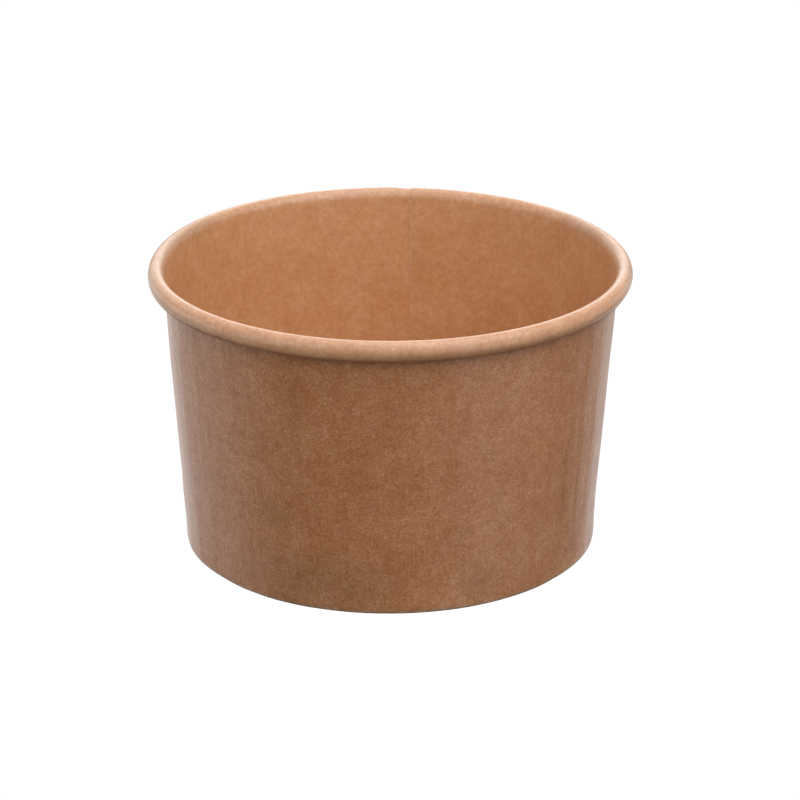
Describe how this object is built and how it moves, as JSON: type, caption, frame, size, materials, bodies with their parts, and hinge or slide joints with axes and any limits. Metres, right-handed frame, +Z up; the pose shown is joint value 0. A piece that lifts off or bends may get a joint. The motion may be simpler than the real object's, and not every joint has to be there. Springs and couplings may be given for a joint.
{
  "type": "paper ice cream tub",
  "caption": "Round open tub of brown kraft paperboard for ice cream: tapered seamed wall, outward rolled rim for a press-on lid, recessed floor held in a folded heel.",
  "frame": {"origin": "on the tub's axis, in the plane that its folded heel stands on", "axes": "+Z up along the tub's axis, out of the mouth; +X to the right as seen from the front; the side seam is at the back, near +Y, a little to the right"},
  "size_m": [0.096, 0.096, 0.0577],
  "materials": {
    "kraft_wall": "brown kraft board with a thin semi-gloss food-grade coating",
    "kraft_base": "brown kraft board with a thin semi-gloss food-grade coating"
  },
  "bodies": {
    "root": {"sidewall": "kraft_wall", "base": "kraft_base"}
  },
  "joints": []
}
